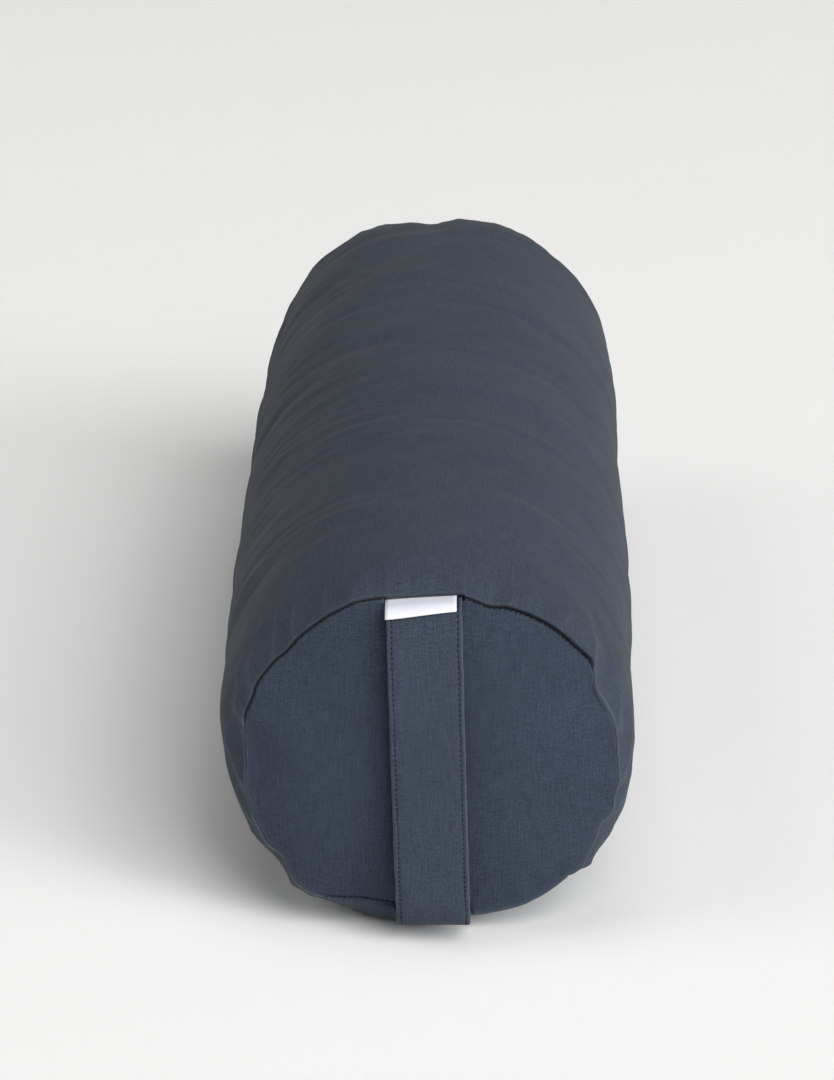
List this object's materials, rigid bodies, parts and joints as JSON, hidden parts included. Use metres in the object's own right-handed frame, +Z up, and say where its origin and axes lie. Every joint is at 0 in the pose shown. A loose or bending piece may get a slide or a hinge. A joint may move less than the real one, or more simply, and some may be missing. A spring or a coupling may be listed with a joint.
{
  "type": "yoga bolster",
  "caption": "Round fabric yoga bolster with a flat-sewn carry handle across one end and a lengthwise zip in its removable cover, over a closed filled inner bag.",
  "frame": {"origin": "centre of the bounding box's base, on the surface that the bolster lies on", "axes": "+Z up; the bolster's axis lies along Y and its carry-handle end faces -Y; +X is to its right seen from the handle end"},
  "size_m": [0.23, 0.66, 0.216],
  "materials": {
    "cover_twill": "matte",
    "handle_twill": "matte",
    "label_satin": "satin",
    "zip_tape": "matte",
    "zip_teeth": "satin",
    "zip_metal": "satin",
    "liner_calico": "matte",
    "filling_fibre": "matte"
  },
  "bodies": {
    "bolster": {"cover_body": "cover_twill", "front_end_panel": "cover_twill", "rear_end_panel": "cover_twill", "carry_handle": "handle_twill", "seam_label": "label_satin", "zip_tape_upper": "zip_tape", "zip_tape_lower": "zip_tape", "zip_teeth_upper": "zip_teeth", "zip_teeth_lower": "zip_teeth", "zip_top_stop_upper": "zip_metal", "zip_top_stop_lower": "zip_metal", "zip_bottom_stop": "zip_metal", "liner_body": "liner_calico", "liner_front_end": "liner_calico", "liner_rear_end": "liner_calico", "filling": "filling_fibre"},
    "zip_slider": {"zip_slider": "zip_metal"},
    "zip_pull": {"zip_pull": "zip_metal"}
  },
  "joints": [
    {"name": "zip_slide", "type": "slide", "parent": "bolster", "child": "zip_slider", "axis": [0, -1, 0], "range_m": [0, 0.411], "deforming": ["zip_teeth_upper", "zip_teeth_lower"]},
    {"name": "zip_pull_hinge", "type": "hinge", "parent": "zip_slider", "child": "zip_pull", "pos_m": [0.08156, 0.21445, 0.02644], "axis": [0.7071, 0, 0.7071], "range_deg": [0, 180]}
  ]
}
